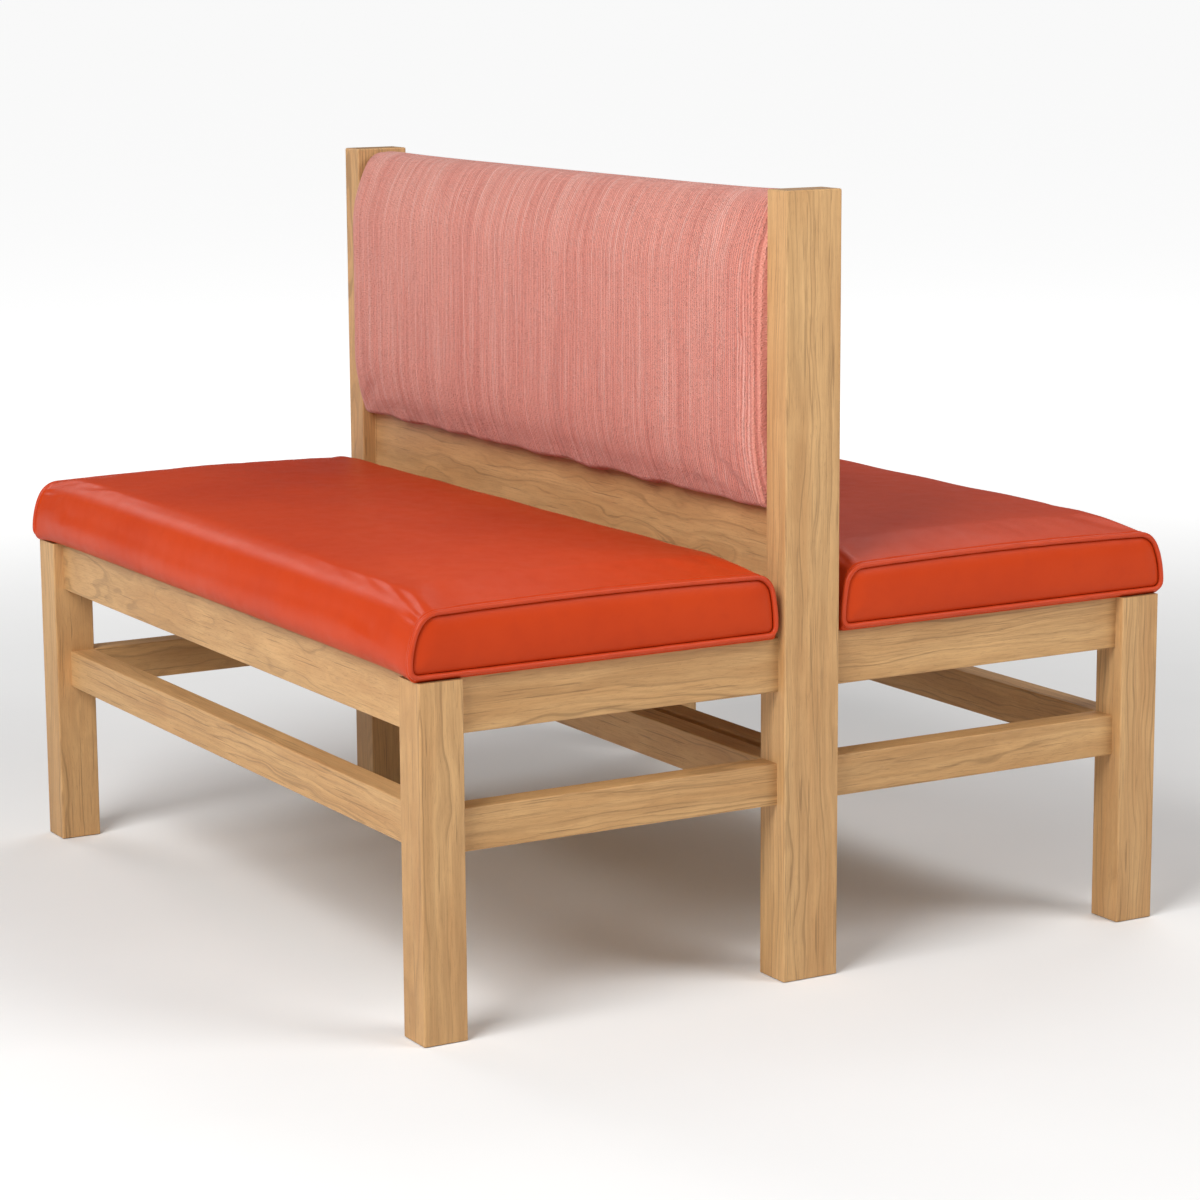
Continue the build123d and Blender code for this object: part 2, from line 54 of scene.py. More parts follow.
ahead = Vector((sin(VIEW_YAW) * cos(VIEW_FALL), cos(VIEW_YAW) * cos(VIEW_FALL), -sin(VIEW_FALL)))
level = Vector((cos(VIEW_YAW), -sin(VIEW_YAW), 0))
upright = level.cross(ahead)
right = level * cos(VIEW_ROLL) + upright * sin(VIEW_ROLL)
top = upright * cos(VIEW_ROLL) - level * sin(VIEW_ROLL)

camera = bpy.data.objects.new("camera", bpy.data.cameras.new("camera"))
bpy.context.scene.collection.objects.link(camera)
camera.data.sensor_fit = "HORIZONTAL"
camera.data.sensor_width = SENSOR_MM
camera.data.lens = LENS_MM
camera.data.clip_end = SIGHT_REACH
camera.matrix_world = Matrix((
    (right.x, top.x, -ahead.x, STANDPOINT[0]),
    (right.y, top.y, -ahead.y, STANDPOINT[1]),
    (right.z, top.z, -ahead.z, STANDPOINT[2]),
    (0, 0, 0, 1),
))
bpy.context.scene.camera = camera
bpy.context.scene.view_settings.view_transform = "Standard"


# Studio. A pale seamless floor under an even white sky, a large soft lamp over the front of the
# left seat, a second one beyond the near end, a third high behind the right seat, and a fourth far
# beyond the far end that draws the soft sheen along the front edge of the seats.
def finish(name, roughness):
    """A new material: itself, its node tree and its surface shader."""
    material = bpy.data.materials.new(name)
    material.use_nodes = True
    skin = material.node_tree.nodes["Principled BSDF"]
    skin.inputs["Roughness"].default_value = roughness
    return material, material.node_tree, skin


def put(tree, kind, feeds, **settings):
    """One node, with its settings and what feeds each of its sockets."""
    node = tree.nodes.new("ShaderNode" + kind)
    for name, value in settings.items():
        setattr(node, name, value)
    for name, value in feeds.items():
        if isinstance(value, bpy.types.NodeSocket):
            tree.links.new(value, node.inputs[name])
        else:
            node.inputs[name].default_value = value
    return node


def noise(tree, where, scale, detail=2.0, roughness=0.5, distortion=0.0):
    """Soft noise read at a place, about 0 to 1."""
    feeds = {"Vector": where, "Scale": scale, "Detail": detail, "Roughness": roughness,
             "Distortion": distortion}
    return put(tree, "TexNoise", feeds).outputs["Fac"]


def band(tree, value, low, high, to_low=0.0, to_high=1.0):
    """A value spread from one range to another, smooth at both ends."""
    feeds = {"Value": value, "From Min": low, "From Max": high, "To Min": to_low, "To Max": to_high}
    return put(tree, "MapRange", feeds, interpolation_type="SMOOTHSTEP").outputs["Result"]


def mix(tree, amount, a, b):
    """Two colours mixed: all a at an amount of 0, all b at 1."""
    node = put(tree, "Mix", {}, data_type="RGBA")
    for socket, value in ((node.inputs[0], amount), (node.inputs[6], a), (node.inputs[7], b)):
        if isinstance(value, bpy.types.NodeSocket):
            tree.links.new(value, socket)
        else:
            socket.default_value = value
    return node.outputs[2]


def lamp(name, place, target, width, watts):
    """A soft box lamp that faces its target."""
    light = bpy.data.lights.new(name, "AREA")
    light.shape = "SQUARE"
    light.size = width
    light.energy = watts
    holder = bpy.data.objects.new(name, light)
    bpy.context.scene.collection.objects.link(holder)
    holder.location = place
    holder.rotation_euler = (Vector(target) - Vector(place)).to_track_quat("-Z", "Y").to_euler()


def mesh_piece(name, points, faces, material):
    """A mesh object from points in metres, smooth shaded."""
    mesh = bpy.data.meshes.new(name)
    mesh.from_pydata([tuple(float(v) for v in p) for p in points], [], faces)
    mesh.materials.append(material)
    mesh.polygons.foreach_set("use_smooth", [True] * len(mesh.polygons))
    mesh.update()
    piece = bpy.data.objects.new(name, mesh)
    bpy.context.scene.collection.objects.link(piece)
    return piece


FLOOR_REACH = 150.0
FLOOR_SHADE, FLOOR_PALE = (0.86, 0.86, 0.855, 1), (0.90, 0.90, 0.895, 1)
GLOW_STARTS, GLOW_FULL, GLOW = 1.2, 5.0, 0.84
floor_paint, tree, skin = finish("floor_paint", 0.85)
spot = put(tree, "TexCoord", {}).outputs["Object"]
speckle = noise(tree, spot, 3.0, 3.0)
tree.links.new(mix(tree, speckle, FLOOR_SHADE, FLOOR_PALE), skin.inputs["Base Color"])
from_bench = put(tree, "VectorMath", {0: spot}, operation="LENGTH").outputs["Value"]
skin.inputs["Emission Color"].default_value = (1, 1, 1, 1)
tree.links.new(band(tree, from_bench, GLOW_STARTS, GLOW_FULL, 0.0, GLOW), skin.inputs["Emission Strength"])
floor = mesh_piece("floor", [
    (-FLOOR_REACH, -FLOOR_REACH, 0), (FLOOR_REACH, -FLOOR_REACH, 0),
    (FLOOR_REACH, FLOOR_REACH, 0), (-FLOOR_REACH, FLOOR_REACH, 0),
], [(0, 1, 2, 3)], floor_paint)

sky = bpy.data.worlds.new("sky")
sky.use_nodes = True
sky.node_tree.nodes["Background"].inputs["Color"].default_value = (1.0, 1.0, 1.0, 1)
sky.node_tree.nodes["Background"].inputs["Strength"].default_value = 0.12
bpy.context.scene.world = sky
lamp("front_lamp", (1.6, -3.4, 3.4), (0.1, -0.2, 0.5), 2.6, 205)
lamp("end_lamp", (2.7, 1.7, 2.7), (0.4, 0, 0.7), 1.8, 58)
lamp("back_lamp", (-1.8, 2.2, 3.4), (-0.9, 0.8, 0.0), 2.6, 40)
lamp("far_lamp", (-4.2, -1.1, 2.9), (0.0, -0.5, 0.48), 1.6, 34)


# Corner legs and centre posts. Solid squared hardwood with eased edges, sanded and given a satin
# lacquer. The grain runs up each piece, and every piece is sawn from another place in the tree.
def maths(tree, operation, a, b=0.0, c=0.0):
    """One sum on sockets or numbers."""
    return put(tree, "Math", {0: a, 1: b, 2: c}, operation=operation).outputs[0]


def stretch(tree, where, along, across, up):
    """A place with its three directions scaled apart, in waves to the metre."""
    return put(tree, "Mapping", {"Vector": where, "Scale": (along, across, up)}).outputs["Vector"]


def relief(tree, height, depth, under=None):
    """A bump of that depth in metres for a height of 0 to 1, over another one."""
    feeds = {"Height": height, "Distance": depth, "Strength": 1.0}
    if under is not None:
        feeds["Normal"] = under
    return put(tree, "Bump", feeds).outputs["Normal"]


def toned(colour, share):
    """A colour made darker or paler by that share."""
    return tuple(min(1.0, share * v) for v in colour[:3]) + (1,)


def timber(name, grain, light, dark, lacquer):
    """Solid hardwood with its grain along X, Y or Z. light and dark are its two tones."""
    material, tree, skin = finish(name, lacquer)
    place = put(tree, "TexCoord", {}).outputs["Object"]
    heart = put(tree, "Attribute", {}, attribute_type="OBJECT", attribute_name="heart")
    from_heart = put(tree, "VectorMath", {0: place, 1: heart.outputs["Vector"]}, operation="SUBTRACT")
    parts = put(tree, "SeparateXYZ", {0: from_heart.outputs[0]}).outputs
    order = {"x": (0, 1, 2), "y": (1, 2, 0), "z": (2, 0, 1)}[grain]
    wood = put(tree, "CombineXYZ", {i: parts[order[i]] for i in range(3)}).outputs[0]

    # Growth rings of uneven width round the heart, pushed about by slow waves along the trunk
    sway = noise(tree, stretch(tree, wood, 2.6, 9.0, 9.0), 1.0, 3.0, 0.55)
    curl = noise(tree, stretch(tree, wood, 14.0, 46.0, 46.0), 1.0, 2.0)
    across = put(tree, "VectorMath", {0: wood, 1: (0.0, 1.0, 1.0)}, operation="MULTIPLY").outputs[0]
    radius = put(tree, "VectorMath", {0: across}, operation="LENGTH").outputs["Value"]
    radius = maths(tree, "ADD", radius, maths(tree, "MULTIPLY", sway, 0.050))
    radius = maths(tree, "ADD", radius, maths(tree, "MULTIPLY", curl, 0.0040))
    trunk = put(tree, "SeparateXYZ", {0: wood}).outputs[0]
    growth = put(tree, "CombineXYZ", {0: radius, 1: trunk, 2: 0.0}).outputs[0]
    ring = band(tree, noise(tree, stretch(tree, growth, 210.0, 1.1, 1.0), 1.0, 4.0, 0.62), 0.36, 0.66)
    late = noise(tree, stretch(tree, growth, 420.0, 2.2, 1.0), 1.0, 2.0, 0.5)
    late = band(tree, late, 0.58, 0.70)

    # Fibres, pores and short dark checks, each far longer than it is wide
    tone = noise(tree, stretch(tree, wood, 3.2, 26.0, 26.0), 1.0, 3.0, 0.6)
    fibre = noise(tree, stretch(tree, wood, 22.0, 620.0, 620.0), 1.0, 3.0, 0.65)
    pore = band(tree, noise(tree, stretch(tree, wood, 90.0, 1900.0, 1900.0), 1.0, 1.0), 0.62, 0.74)
    check = noise(tree, stretch(tree, wood, 9.0, 420.0, 420.0), 1.0, 2.0, 0.5, 0.2)
    check = band(tree, check, 0.645, 0.705)
    cloud = noise(tree, stretch(tree, wood, 11.0, 34.0, 34.0), 1.0, 2.0)

    colour = mix(tree, band(tree, tone, 0.3, 0.7), light, dark)
    darker, deep, paler = toned(dark, 0.66), toned(dark, 0.36), toned(light, 1.16)
    colour = mix(tree, maths(tree, "MULTIPLY", ring, 0.42), colour, darker)
    colour = mix(tree, band(tree, cloud, 0.5, 0.8, 0.0, 0.4), colour, paler)
    colour = mix(tree, band(tree, fibre, 0.42, 0.72, 0.0, 0.34), colour, darker)
    colour = mix(tree, maths(tree, "MULTIPLY", late, 0.36), colour, deep)
    colour = mix(tree, maths(tree, "MULTIPLY", pore, 0.22), colour, deep)
    colour = mix(tree, maths(tree, "MULTIPLY", check, 0.46), colour, deep)

    # Sawn ends: the same rings, darker, because the open pores drink the lacquer
    facing = put(tree, "TexCoord", {}).outputs["Normal"]
    facing = put(tree, "SeparateXYZ", {0: facing}).outputs["xyz".index(grain)]
    end = band(tree, maths(tree, "ABSOLUTE", facing), 0.8, 0.95)
    end_colour = mix(tree, maths(tree, "MULTIPLY", ring, 0.5), toned(dark, 0.72), deep)
    colour = mix(tree, end, colour, end_colour)
    tree.links.new(colour, skin.inputs["Base Color"])

    gloss = maths(tree, "ADD", maths(tree, "MULTIPLY", fibre, 0.16), lacquer - 0.06)
    tree.links.new(gloss, skin.inputs["Roughness"])
    skin.inputs["Specular IOR Level"].default_value = 0.42
    pits = maths(tree, "MAXIMUM", maths(tree, "MULTIPLY", pore, 0.7), check)
    surface = maths(tree, "SUBTRACT", maths(tree, "MULTIPLY", fibre, 0.35), pits)
    tree.links.new(relief(tree, surface, 0.00022), skin.inputs["Normal"])
    return material


def dress(name, material, heart=None):
    """Gives a frame piece its material, and timber its heart: the middle line of its tree."""
    piece = nodes[name]
    piece.data.materials.clear()
    piece.data.materials.append(material)
    piece.data.polygons.foreach_set("material_index", [0] * len(piece.data.polygons))
    if heart is not None:
        low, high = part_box(name)
        piece["heart"] = [float(v) for v in (low + high) / 2 + Vector(heart)]


HONEY_LIGHT, HONEY_DARK = (0.650, 0.390, 0.170, 1), (0.555, 0.300, 0.118, 1)
HEART_NEAR, HEART_FAR = 0.05, 0.12
TRUNK_REACH = 9.0
ENDS = ("near", "far")
SIDES = ("left", "right")
upright_timber = timber("upright_timber", "z", HONEY_LIGHT, HONEY_DARK, 0.50)
chance = np.random.default_rng(7)


def sawn_from(grain):
    """Where the heart of the tree lies from the middle of a piece, at random beside its grain."""
    away = chance.uniform(HEART_NEAR, HEART_FAR)
    round_it = chance.uniform(0, 2 * pi)
    beside = (away * cos(round_it), away * sin(round_it))
    along = chance.uniform(-TRUNK_REACH, TRUNK_REACH)
    return {
        "x": (along, beside[0], beside[1]), "y": (beside[0], along, beside[1]),
        "z": (beside[0], beside[1], along),
    }[grain]


for end in ENDS:
    dress(f"{end}_centre_post", upright_timber, sawn_from("z"))
    for side in SIDES:
        dress(f"{end}_{side}_leg", upright_timber, sawn_from("z"))


# Seat rails and stretchers. The same hardwood, sawn along the grain and tenoned into the legs and
# posts. The rails under the seats stand back from the faces of the legs.
# The end rails and end stretchers take a darker copy of the same honey tones, as painted shade.
SHADED_LIGHT, SHADED_DARK = (0.630, 0.375, 0.160, 1), (0.530, 0.285, 0.108, 1)
long_timber = timber("long_timber", "x", HONEY_LIGHT, HONEY_DARK, 0.50)
short_timber = timber("short_timber", "y", SHADED_LIGHT, SHADED_DARK, 0.52)
for side in SIDES:
    for name in ("front_rail", "front_stretcher", "centre_stretcher"):
        dress(f"{side}_{name}", long_timber, sawn_from("x"))
    for end in ENDS:
        dress(f"{end}_{side}_end_rail", short_timber, sawn_from("y"))
        dress(f"{end}_{side}_end_stretcher", short_timber, sawn_from("y"))


# Ledgers, cross braces and corner blocks. Planed but unlacquered offcuts of the same hardwood,
# glued and screwed inside the frame, where they carry the seat boards.
BARE_LIGHT, BARE_DARK = (0.60, 0.40, 0.22, 1), (0.50, 0.31, 0.15, 1)
bare_long = timber("bare_long_timber", "x", BARE_LIGHT, BARE_DARK, 0.68)
bare_short = timber("bare_short_timber", "y", BARE_LIGHT, BARE_DARK, 0.68)
for side in SIDES:
    dress(f"{side}_rear_ledger", bare_long, sawn_from("x"))
    dress(f"{side}_cross_brace", bare_short, sawn_from("y"))
    for end in ENDS:
        dress(f"{end}_{side}_corner_block", bare_long, sawn_from("x"))


# Wood screws. Zinc plated steel, countersunk, their bright plating faintly mottled.
zinc, tree, skin = finish("zinc_plate", 0.35)
place = put(tree, "TexCoord", {}).outputs["Object"]
mottle = noise(tree, place, 900.0)
DULL_ZINC, BRIGHT_ZINC = (0.50, 0.49, 0.45, 1), (0.70, 0.69, 0.66, 1)
tree.links.new(mix(tree, mottle, DULL_ZINC, BRIGHT_ZINC), skin.inputs["Base Color"])
tree.links.new(band(tree, mottle, 0.2, 0.8, 0.28, 0.46), skin.inputs["Roughness"])
skin.inputs["Metallic"].default_value = 1.0
for name in ("corner_block_screws", "ledger_screws", "seat_screws", "back_panel_screws"):
    dress(name, zinc)


# Floor glides. Dark nylon discs pressed into the foot of every leg and post, moulded matt and
# scuffed on the edge that meets the floor.
nylon, tree, skin = finish("glide_nylon", 0.6)
place = put(tree, "TexCoord", {}).outputs["Object"]
scuff = noise(tree, place, 450.0, 4.0, 0.7)
BLACK_NYLON, SCUFFED_NYLON = (0.035, 0.032, 0.03, 1), (0.085, 0.08, 0.075, 1)
tree.links.new(mix(tree, scuff, BLACK_NYLON, SCUFFED_NYLON), skin.inputs["Base Color"])
tree.links.new(band(tree, scuff, 0.3, 0.7, 0.5, 0.75), skin.inputs["Roughness"])
tree.links.new(relief(tree, scuff, 0.0001), skin.inputs["Normal"])
dress("floor_glides", nylon)


# Rails and panels of the back. The lower rail shows between the seats and the upholstery, so it is
# lacquered. The top rail and the plywood panels are bare under the fabric.
LOWER_RAIL_HEART = (2.3, 0.16, -0.05)
dress("back_lower_rail", long_timber, LOWER_RAIL_HEART)
dress("back_top_rail", bare_long, sawn_from("x"))


LAYER_PITCH = 0.003
BIRCH_PALE, BIRCH_DARK, BIRCH_FIBRE = (0.66, 0.50, 0.31, 1), (0.54, 0.38, 0.21, 1), (0.38, 0.25, 0.13, 1)
EDGE_PALE, EDGE_DARK = (0.58, 0.43, 0.26, 1), (0.30, 0.18, 0.09, 1)


def birch_plywood(name, layers):
    """Plywood whose layers lie across X, Y or Z, with a pale face and striped edges."""
    material, tree, skin = finish(name, 0.62)
    place = put(tree, "TexCoord", {}).outputs["Object"]
    parts = put(tree, "SeparateXYZ", {0: place}).outputs
    through = parts["xyz".index(layers)]
    stripe = maths(tree, "SINE", maths(tree, "MULTIPLY", through, 2 * pi / LAYER_PITCH))
    figure = noise(tree, stretch(tree, place, 6.0, 60.0, 60.0), 1.0, 4.0, 0.6)
    fibre = noise(tree, stretch(tree, place, 40.0, 900.0, 900.0), 1.0, 2.0)
    face = mix(tree, band(tree, figure, 0.35, 0.7), BIRCH_PALE, BIRCH_DARK)
    face = mix(tree, band(tree, fibre, 0.45, 0.75, 0.0, 0.4), face, BIRCH_FIBRE)
    edge = mix(tree, band(tree, stripe, -0.4, 0.4), EDGE_PALE, EDGE_DARK)
    normal = put(tree, "SeparateXYZ", {0: put(tree, "TexCoord", {}).outputs["Normal"]}).outputs
    flat = band(tree, maths(tree, "ABSOLUTE", normal["xyz".index(layers)]), 0.7, 0.9)
    tree.links.new(mix(tree, flat, edge, face), skin.inputs["Base Color"])
    tree.links.new(relief(tree, fibre, 0.00015), skin.inputs["Normal"])
    return material


panel_plywood = birch_plywood("panel_plywood", "y")
for side in SIDES:
    dress(f"{side}_back_panel", panel_plywood)


# Seat boards. Birch plywood screwed down on the rails, ledgers and braces. Only their undersides
# show, inside the turned hems of the covers.
board_plywood = birch_plywood("board_plywood", "z")
for side in SIDES:
    dress(f"{side}_seat_board", board_plywood)


# Seat covers. Orange-red upholstery vinyl over foam, one length that wraps from under the back
# edge over the top and the front, and is stapled under the board. A cloth simulation stuffs it.
MM = 0.001
SEAT_FLOOR, SEAT_REAR, SEAT_FRONT = 0.406, 0.045, 0.505
SEAM_X = 0.5518
FULL_HEIGHT, END_HEIGHT = 0.088, 0.076
FULL_CROWN, END_CROWN = 0.006, 0.003
FULL_TOE, END_TOE = 0.026, 0.009
FRONT_ROLL, FRONT_LEAN = 0.030, radians(25)
BACK_ROLL, BACK_LEAN = 0.026, radians(12)
BULGE = 0.009
HEEL_ROUND = 0.004
HEM, SEAM_ALLOWANCE = 0.030, 0.0067


def arc(points, heading, radius, turn, count):
    """Adds a left-hand arc to a run of points, from its last point and heading. It returns the new
    heading."""
    start = points[-1]
    centre = start + radius * np.array([-sin(heading), cos(heading)])
    for i in range(1, count + 1):
        angle = turn * i / count
        spoke = start - centre
        c, s = cos(angle), sin(angle)
        points.append(centre + np.array([c * spoke[0] - s * spoke[1], s * spoke[0] + c * spoke[1]]))
    return heading + turn


def line(points, end, count):
    """Adds a straight run of points."""
    start = points[-1]
    for i in range(1, count + 1):
        points.append(start + (np.array(end) - start) * i / count)


def leaning_side(height, top_round, lean):
    """Radius and draw-in of a side that leans in by that angle under a rounded top edge."""
    radius = (height - top_round * (1 - sin(lean))) / sin(lean)
    return radius, radius * (1 - cos(lean)) + top_round * cos(lean)


def seat_section(height, crown, toe, inset=0.0, base=0.0, heel=HEEL_ROUND):
    """The cushion's outline in its Y-Z plane, closed, from the middle of the underside to the front.
    inset draws it in, base lifts its underside, and toe and heel round its two lower corners."""
    under = SEAT_FLOOR + base
    widest = SEAT_FRONT + BULGE - inset
    rear = SEAT_REAR + inset
    front_roll, back_roll = FRONT_ROLL - inset, BACK_ROLL - inset
    side_height = height - inset - base
    face, face_in = leaning_side(side_height - toe, front_roll, FRONT_LEAN)
    behind, behind_in = leaning_side(side_height - END_TOE, back_roll, BACK_LEAN)
    span = widest - face_in - rear - behind_in
    tilt = 2 * atan(2 * crown / span)
    span += (front_roll + back_roll) * sin(tilt)
    middle = (widest + rear) / 2
    points = [np.array([middle, under])]
    line(points, (widest - toe, under), 30)
    heading = arc(points, 0.0, toe, pi / 2, 8)
    heading = arc(points, heading, face, FRONT_LEAN, 8)
    heading = arc(points, heading, front_roll, pi / 2 - FRONT_LEAN - tilt, 12)
    heading = arc(points, heading, span / (2 * sin(tilt)), 2 * tilt, 56)
    heading = arc(points, heading, back_roll, pi / 2 - tilt - BACK_LEAN, 8)
    arc(points, heading, behind, BACK_LEAN, 8)
    line(points, (rear, under + heel), 2)
    arc(points, 1.5 * pi, heel, pi / 2, 5)
    line(points, (middle, under), 30)
    return np.array(points[:-1])


def rings_to_faces(rings, count, closed=True):
    """Quads between rings of count points each, one ring after another."""
    faces = []
    for r in range(rings - 1):
        for i in range(count if closed else count - 1):
            j = (i + 1) % count
            faces.append((r * count + i, r * count + j, (r + 1) * count + j, (r + 1) * count + i))
    return faces


STUFFING_FRAMES = 20


def stuffed(piece, held, pressure, most):
    """Stuffs a cover: cloth under pressure, sewn down at the points held. It returns how far each
    point has moved, at most that many metres."""
    start = np.array([v.co for v in piece.data.vertices])
    group = piece.vertex_groups.new(name="sewn")
    group.add([int(i) for i in held], 1.0, "REPLACE")
    filling = piece.modifiers.new("filling", "CLOTH")
    filling.settings.quality = 6
    filling.settings.mass = 0.25
    filling.settings.air_damping = 3.0
    filling.settings.tension_stiffness = 22.0
    filling.settings.compression_stiffness = 22.0
    filling.settings.shear_stiffness = 10.0
    filling.settings.bending_stiffness = 1.2
    filling.settings.use_pressure = True
    filling.settings.uniform_pressure_force = pressure
    filling.settings.vertex_group_mass = "sewn"
    filling.settings.effector_weights.gravity = 0.0
    filling.collision_settings.use_collision = False
    for step in range(1, STUFFING_FRAMES + 1):
        bpy.context.scene.frame_set(step)
    swollen = piece.evaluated_get(bpy.context.evaluated_depsgraph_get()).to_mesh()
    moved = np.array([v.co for v in swollen.vertices]) - start
    piece.modifiers.remove(filling)
    bpy.context.scene.frame_set(1)
    length = np.linalg.norm(moved, axis=1)
    return moved * np.minimum(1.0, most / np.maximum(length, 1e-9))[:, None]


def waves(seed, count, low, high):
    """A smooth random line: a few sines between two wavelengths in metres. It gives about -1 to 1."""
    dice = np.random.default_rng(seed)
    lengths = np.exp(dice.uniform(np.log(low), np.log(high), count))
    phases = dice.uniform(0, 2 * pi, count)
    return lambda s: sum(np.sin(2 * pi * s / w + p) for w, p in zip(lengths, phases)) / sqrt(count)


VINYL_BRIGHT, VINYL_DEEP = (0.565, 0.052, 0.008, 1), (0.515, 0.044, 0.007, 1)
VINYL_SMUDGE = (0.44, 0.038, 0.009, 1)


def seat_vinyl(name, pebble, gloss):
    """Satin upholstery vinyl: an even colour coat over a fine pebbled skin."""
    material, tree, skin = finish(name, 0.36)
    place = put(tree, "TexCoord", {}).outputs["Object"]
    cloud = noise(tree, place, 5.0, 3.0, 0.6)
    smudge = noise(tree, place, 38.0, 4.0, 0.65)
    colour = mix(tree, band(tree, cloud, 0.3, 0.7), VINYL_BRIGHT, VINYL_DEEP)
    colour = mix(tree, band(tree, smudge, 0.45, 0.8, 0.0, 0.25), colour, VINYL_SMUDGE)
    tree.links.new(colour, skin.inputs["Base Color"])
    tree.links.new(band(tree, smudge, 0.2, 0.8, 0.33, 0.44), skin.inputs["Roughness"])
    cells = put(tree, "TexVoronoi", {"Vector": place, "Scale": pebble}, feature="DISTANCE_TO_EDGE")
    grain = band(tree, cells.outputs["Distance"], 0.0, 0.3)
    soft = relief(tree, noise(tree, place, 26.0, 3.0, 0.5), 0.0006)
    tree.links.new(relief(tree, grain, 0.00004, soft), skin.inputs["Normal"])
    skin.inputs["Specular IOR Level"].default_value = gloss
    return material


vinyl = seat_vinyl("seat_vinyl", 900.0, 0.11)
QUICK_FILL_SHARE, QUICK_FILL_REACH = 0.82, 0.030


def seat_form(x):
    """Edge height, crown and toe round of the cushion at a distance from its middle. It fills out
    quickly from its end seams and slowly towards its middle."""
    gap = SEAM_X - abs(x)
    full = QUICK_FILL_SHARE * (1 - exp(-gap / QUICK_FILL_REACH))
    full += (1 - QUICK_FILL_SHARE) * sin(min(1.0, gap / SEAM_X) * pi / 2)
    pairs = ((END_HEIGHT, FULL_HEIGHT), (END_CROWN, FULL_CROWN), (END_TOE, FULL_TOE))
    return [end + (middle - end) * full for end, middle in pairs]


# Rings of points lie close together beside the seams, at these distances from them. The first two
# turn in under the piping, each with its own toe, inset, base and heel.
BESIDE_SEAM = np.array([0.0, 1.0, 2.2, 3.4, 4.6, 5.8, 7.0, 8.4, 10.0, 12.5, 16.0, 21.0]) * MM
TURNED_IN = ((0.0100, 0.0026, 0.0050, 0.0090), (0.0095, 0.0008, 0.0018, 0.0075))
MIDDLE_RINGS = 74
half_places = list(SEAM_X - BESIDE_SEAM)
half_places += list(np.linspace(half_places[-1], 0.0, MIDDLE_RINGS)[1:])
half_rings = []
for ring_number, x in enumerate(half_places):
    height, crown, toe = seat_form(x)
    corners = TURNED_IN[ring_number] if ring_number < len(TURNED_IN) else (toe,)
    half_rings.append(seat_section(height, crown, *corners))
places = np.array([-x for x in half_places] + half_places[-2::-1])
seat_rings = half_rings + half_rings[-2::-1]
RING = len(seat_rings[0])
seat_points = np.array([(x, y, z) for x, ring in zip(places, seat_rings) for y, z in ring])
cover_faces = rings_to_faces(len(places), RING)

SEAT_PRESSURE, SEAT_SWELL = 3.5, 0.003
SEWN_BAND = 0.0062
UNDERSIDE_REACH = 0.004
bare_cover = mesh_piece("cushion_in_work", seat_points, cover_faces, vinyl)
stapled = seat_points[:, 2] < SEAT_FLOOR + UNDERSIDE_REACH
at_seam = np.abs(seat_points[:, 0]) > SEAM_X - SEWN_BAND
swell = stuffed(bare_cover, np.where(stapled | at_seam)[0], SEAT_PRESSURE, SEAT_SWELL)
bpy.data.objects.remove(bare_cover)
stuffed_points = seat_points + swell


# Beside each seam the cover rises in a ridge behind a groove, with small puckers that fade away
# from it. Each height is in metres, with its place and its reach from the seam.
RIDGE, RIDGE_PLACE, RIDGE_REACH = 1.20 * MM, 5.8 * MM, 1.3 * MM
GROOVE, GROOVE_PLACE, GROOVE_REACH = 0.80 * MM, 3.2 * MM, 1.0 * MM
PUCKER, PUCKER_REACH, PUCKER_START = 0.32 * MM, 15.0 * MM, 4.0 * MM
UNEVEN, UNEVEN_CALM = 0.7 * MM, 0.06
CALM_FLOOR, CALM_HEIGHT = 6.0 * MM, 12.0 * MM


def worked(points):
    """Seam ridge beside the piping, puckers along the seams and slow unevenness of the foam."""
    grid = points.reshape(len(places), RING, 3)
    along = np.roll(grid, -1, 1) - np.roll(grid, 1, 1)
    over = np.gradient(grid, axis=0)
    normal = np.cross(along, over)
    normal /= np.maximum(np.linalg.norm(normal, axis=2), 1e-12)[:, :, None]
    middle = grid.mean(axis=(0, 1))
    if ((grid[len(places) // 2] - middle) * normal[len(places) // 2]).sum() < 0:
        normal = -normal
    step = np.linalg.norm(grid[:, 1:] - grid[:, :-1], axis=2)
    run = np.concatenate([np.zeros((len(places), 1)), np.cumsum(step, axis=1)], axis=1)
    free = np.clip((grid[:, :, 2] - SEAT_FLOOR - CALM_FLOOR) / CALM_HEIGHT, 0, 1)
    for end, seed in ((1, 11), (-1, 12)):
        gap = np.maximum(0.0, SEAM_X - end * grid[:, :, 0])
        pucker = waves(seed, 7, 0.011, 0.034)(run)
        strong = 0.75 + 0.35 * waves(seed + 20, 4, 0.05, 0.22)(run)
        shift = RIDGE * strong * np.exp(-((gap - RIDGE_PLACE) / RIDGE_REACH) ** 2)
        shift -= GROOVE * np.exp(-((gap - GROOVE_PLACE) / GROOVE_REACH) ** 2)
        shift += PUCKER * pucker * np.exp(-gap / PUCKER_REACH) * np.clip(gap / PUCKER_START, 0, 1)
        grid = grid + normal * (shift * free)[:, :, None]
    over_seat = grid[:, :, 1] + 0.4 * grid[:, :, 2]
    slow = waves(31, 6, 0.16, 0.5)(grid[:, :, 0]) * waves(32, 5, 0.12, 0.4)(over_seat)
    calm = np.clip((SEAM_X - np.abs(grid[:, :, 0])) / UNEVEN_CALM, 0, 1) * free
    grid = grid + normal * (UNEVEN * slow * calm)[:, :, None]
    return grid.reshape(-1, 3)


worked_points = worked(stuffed_points)


def seat_side(points, side):
    """The points of the right seat, or turned half round the back for the left seat."""
    turned = np.array(points, float)
    if side == "left":
        turned[:, :2] *= -1
    return turned


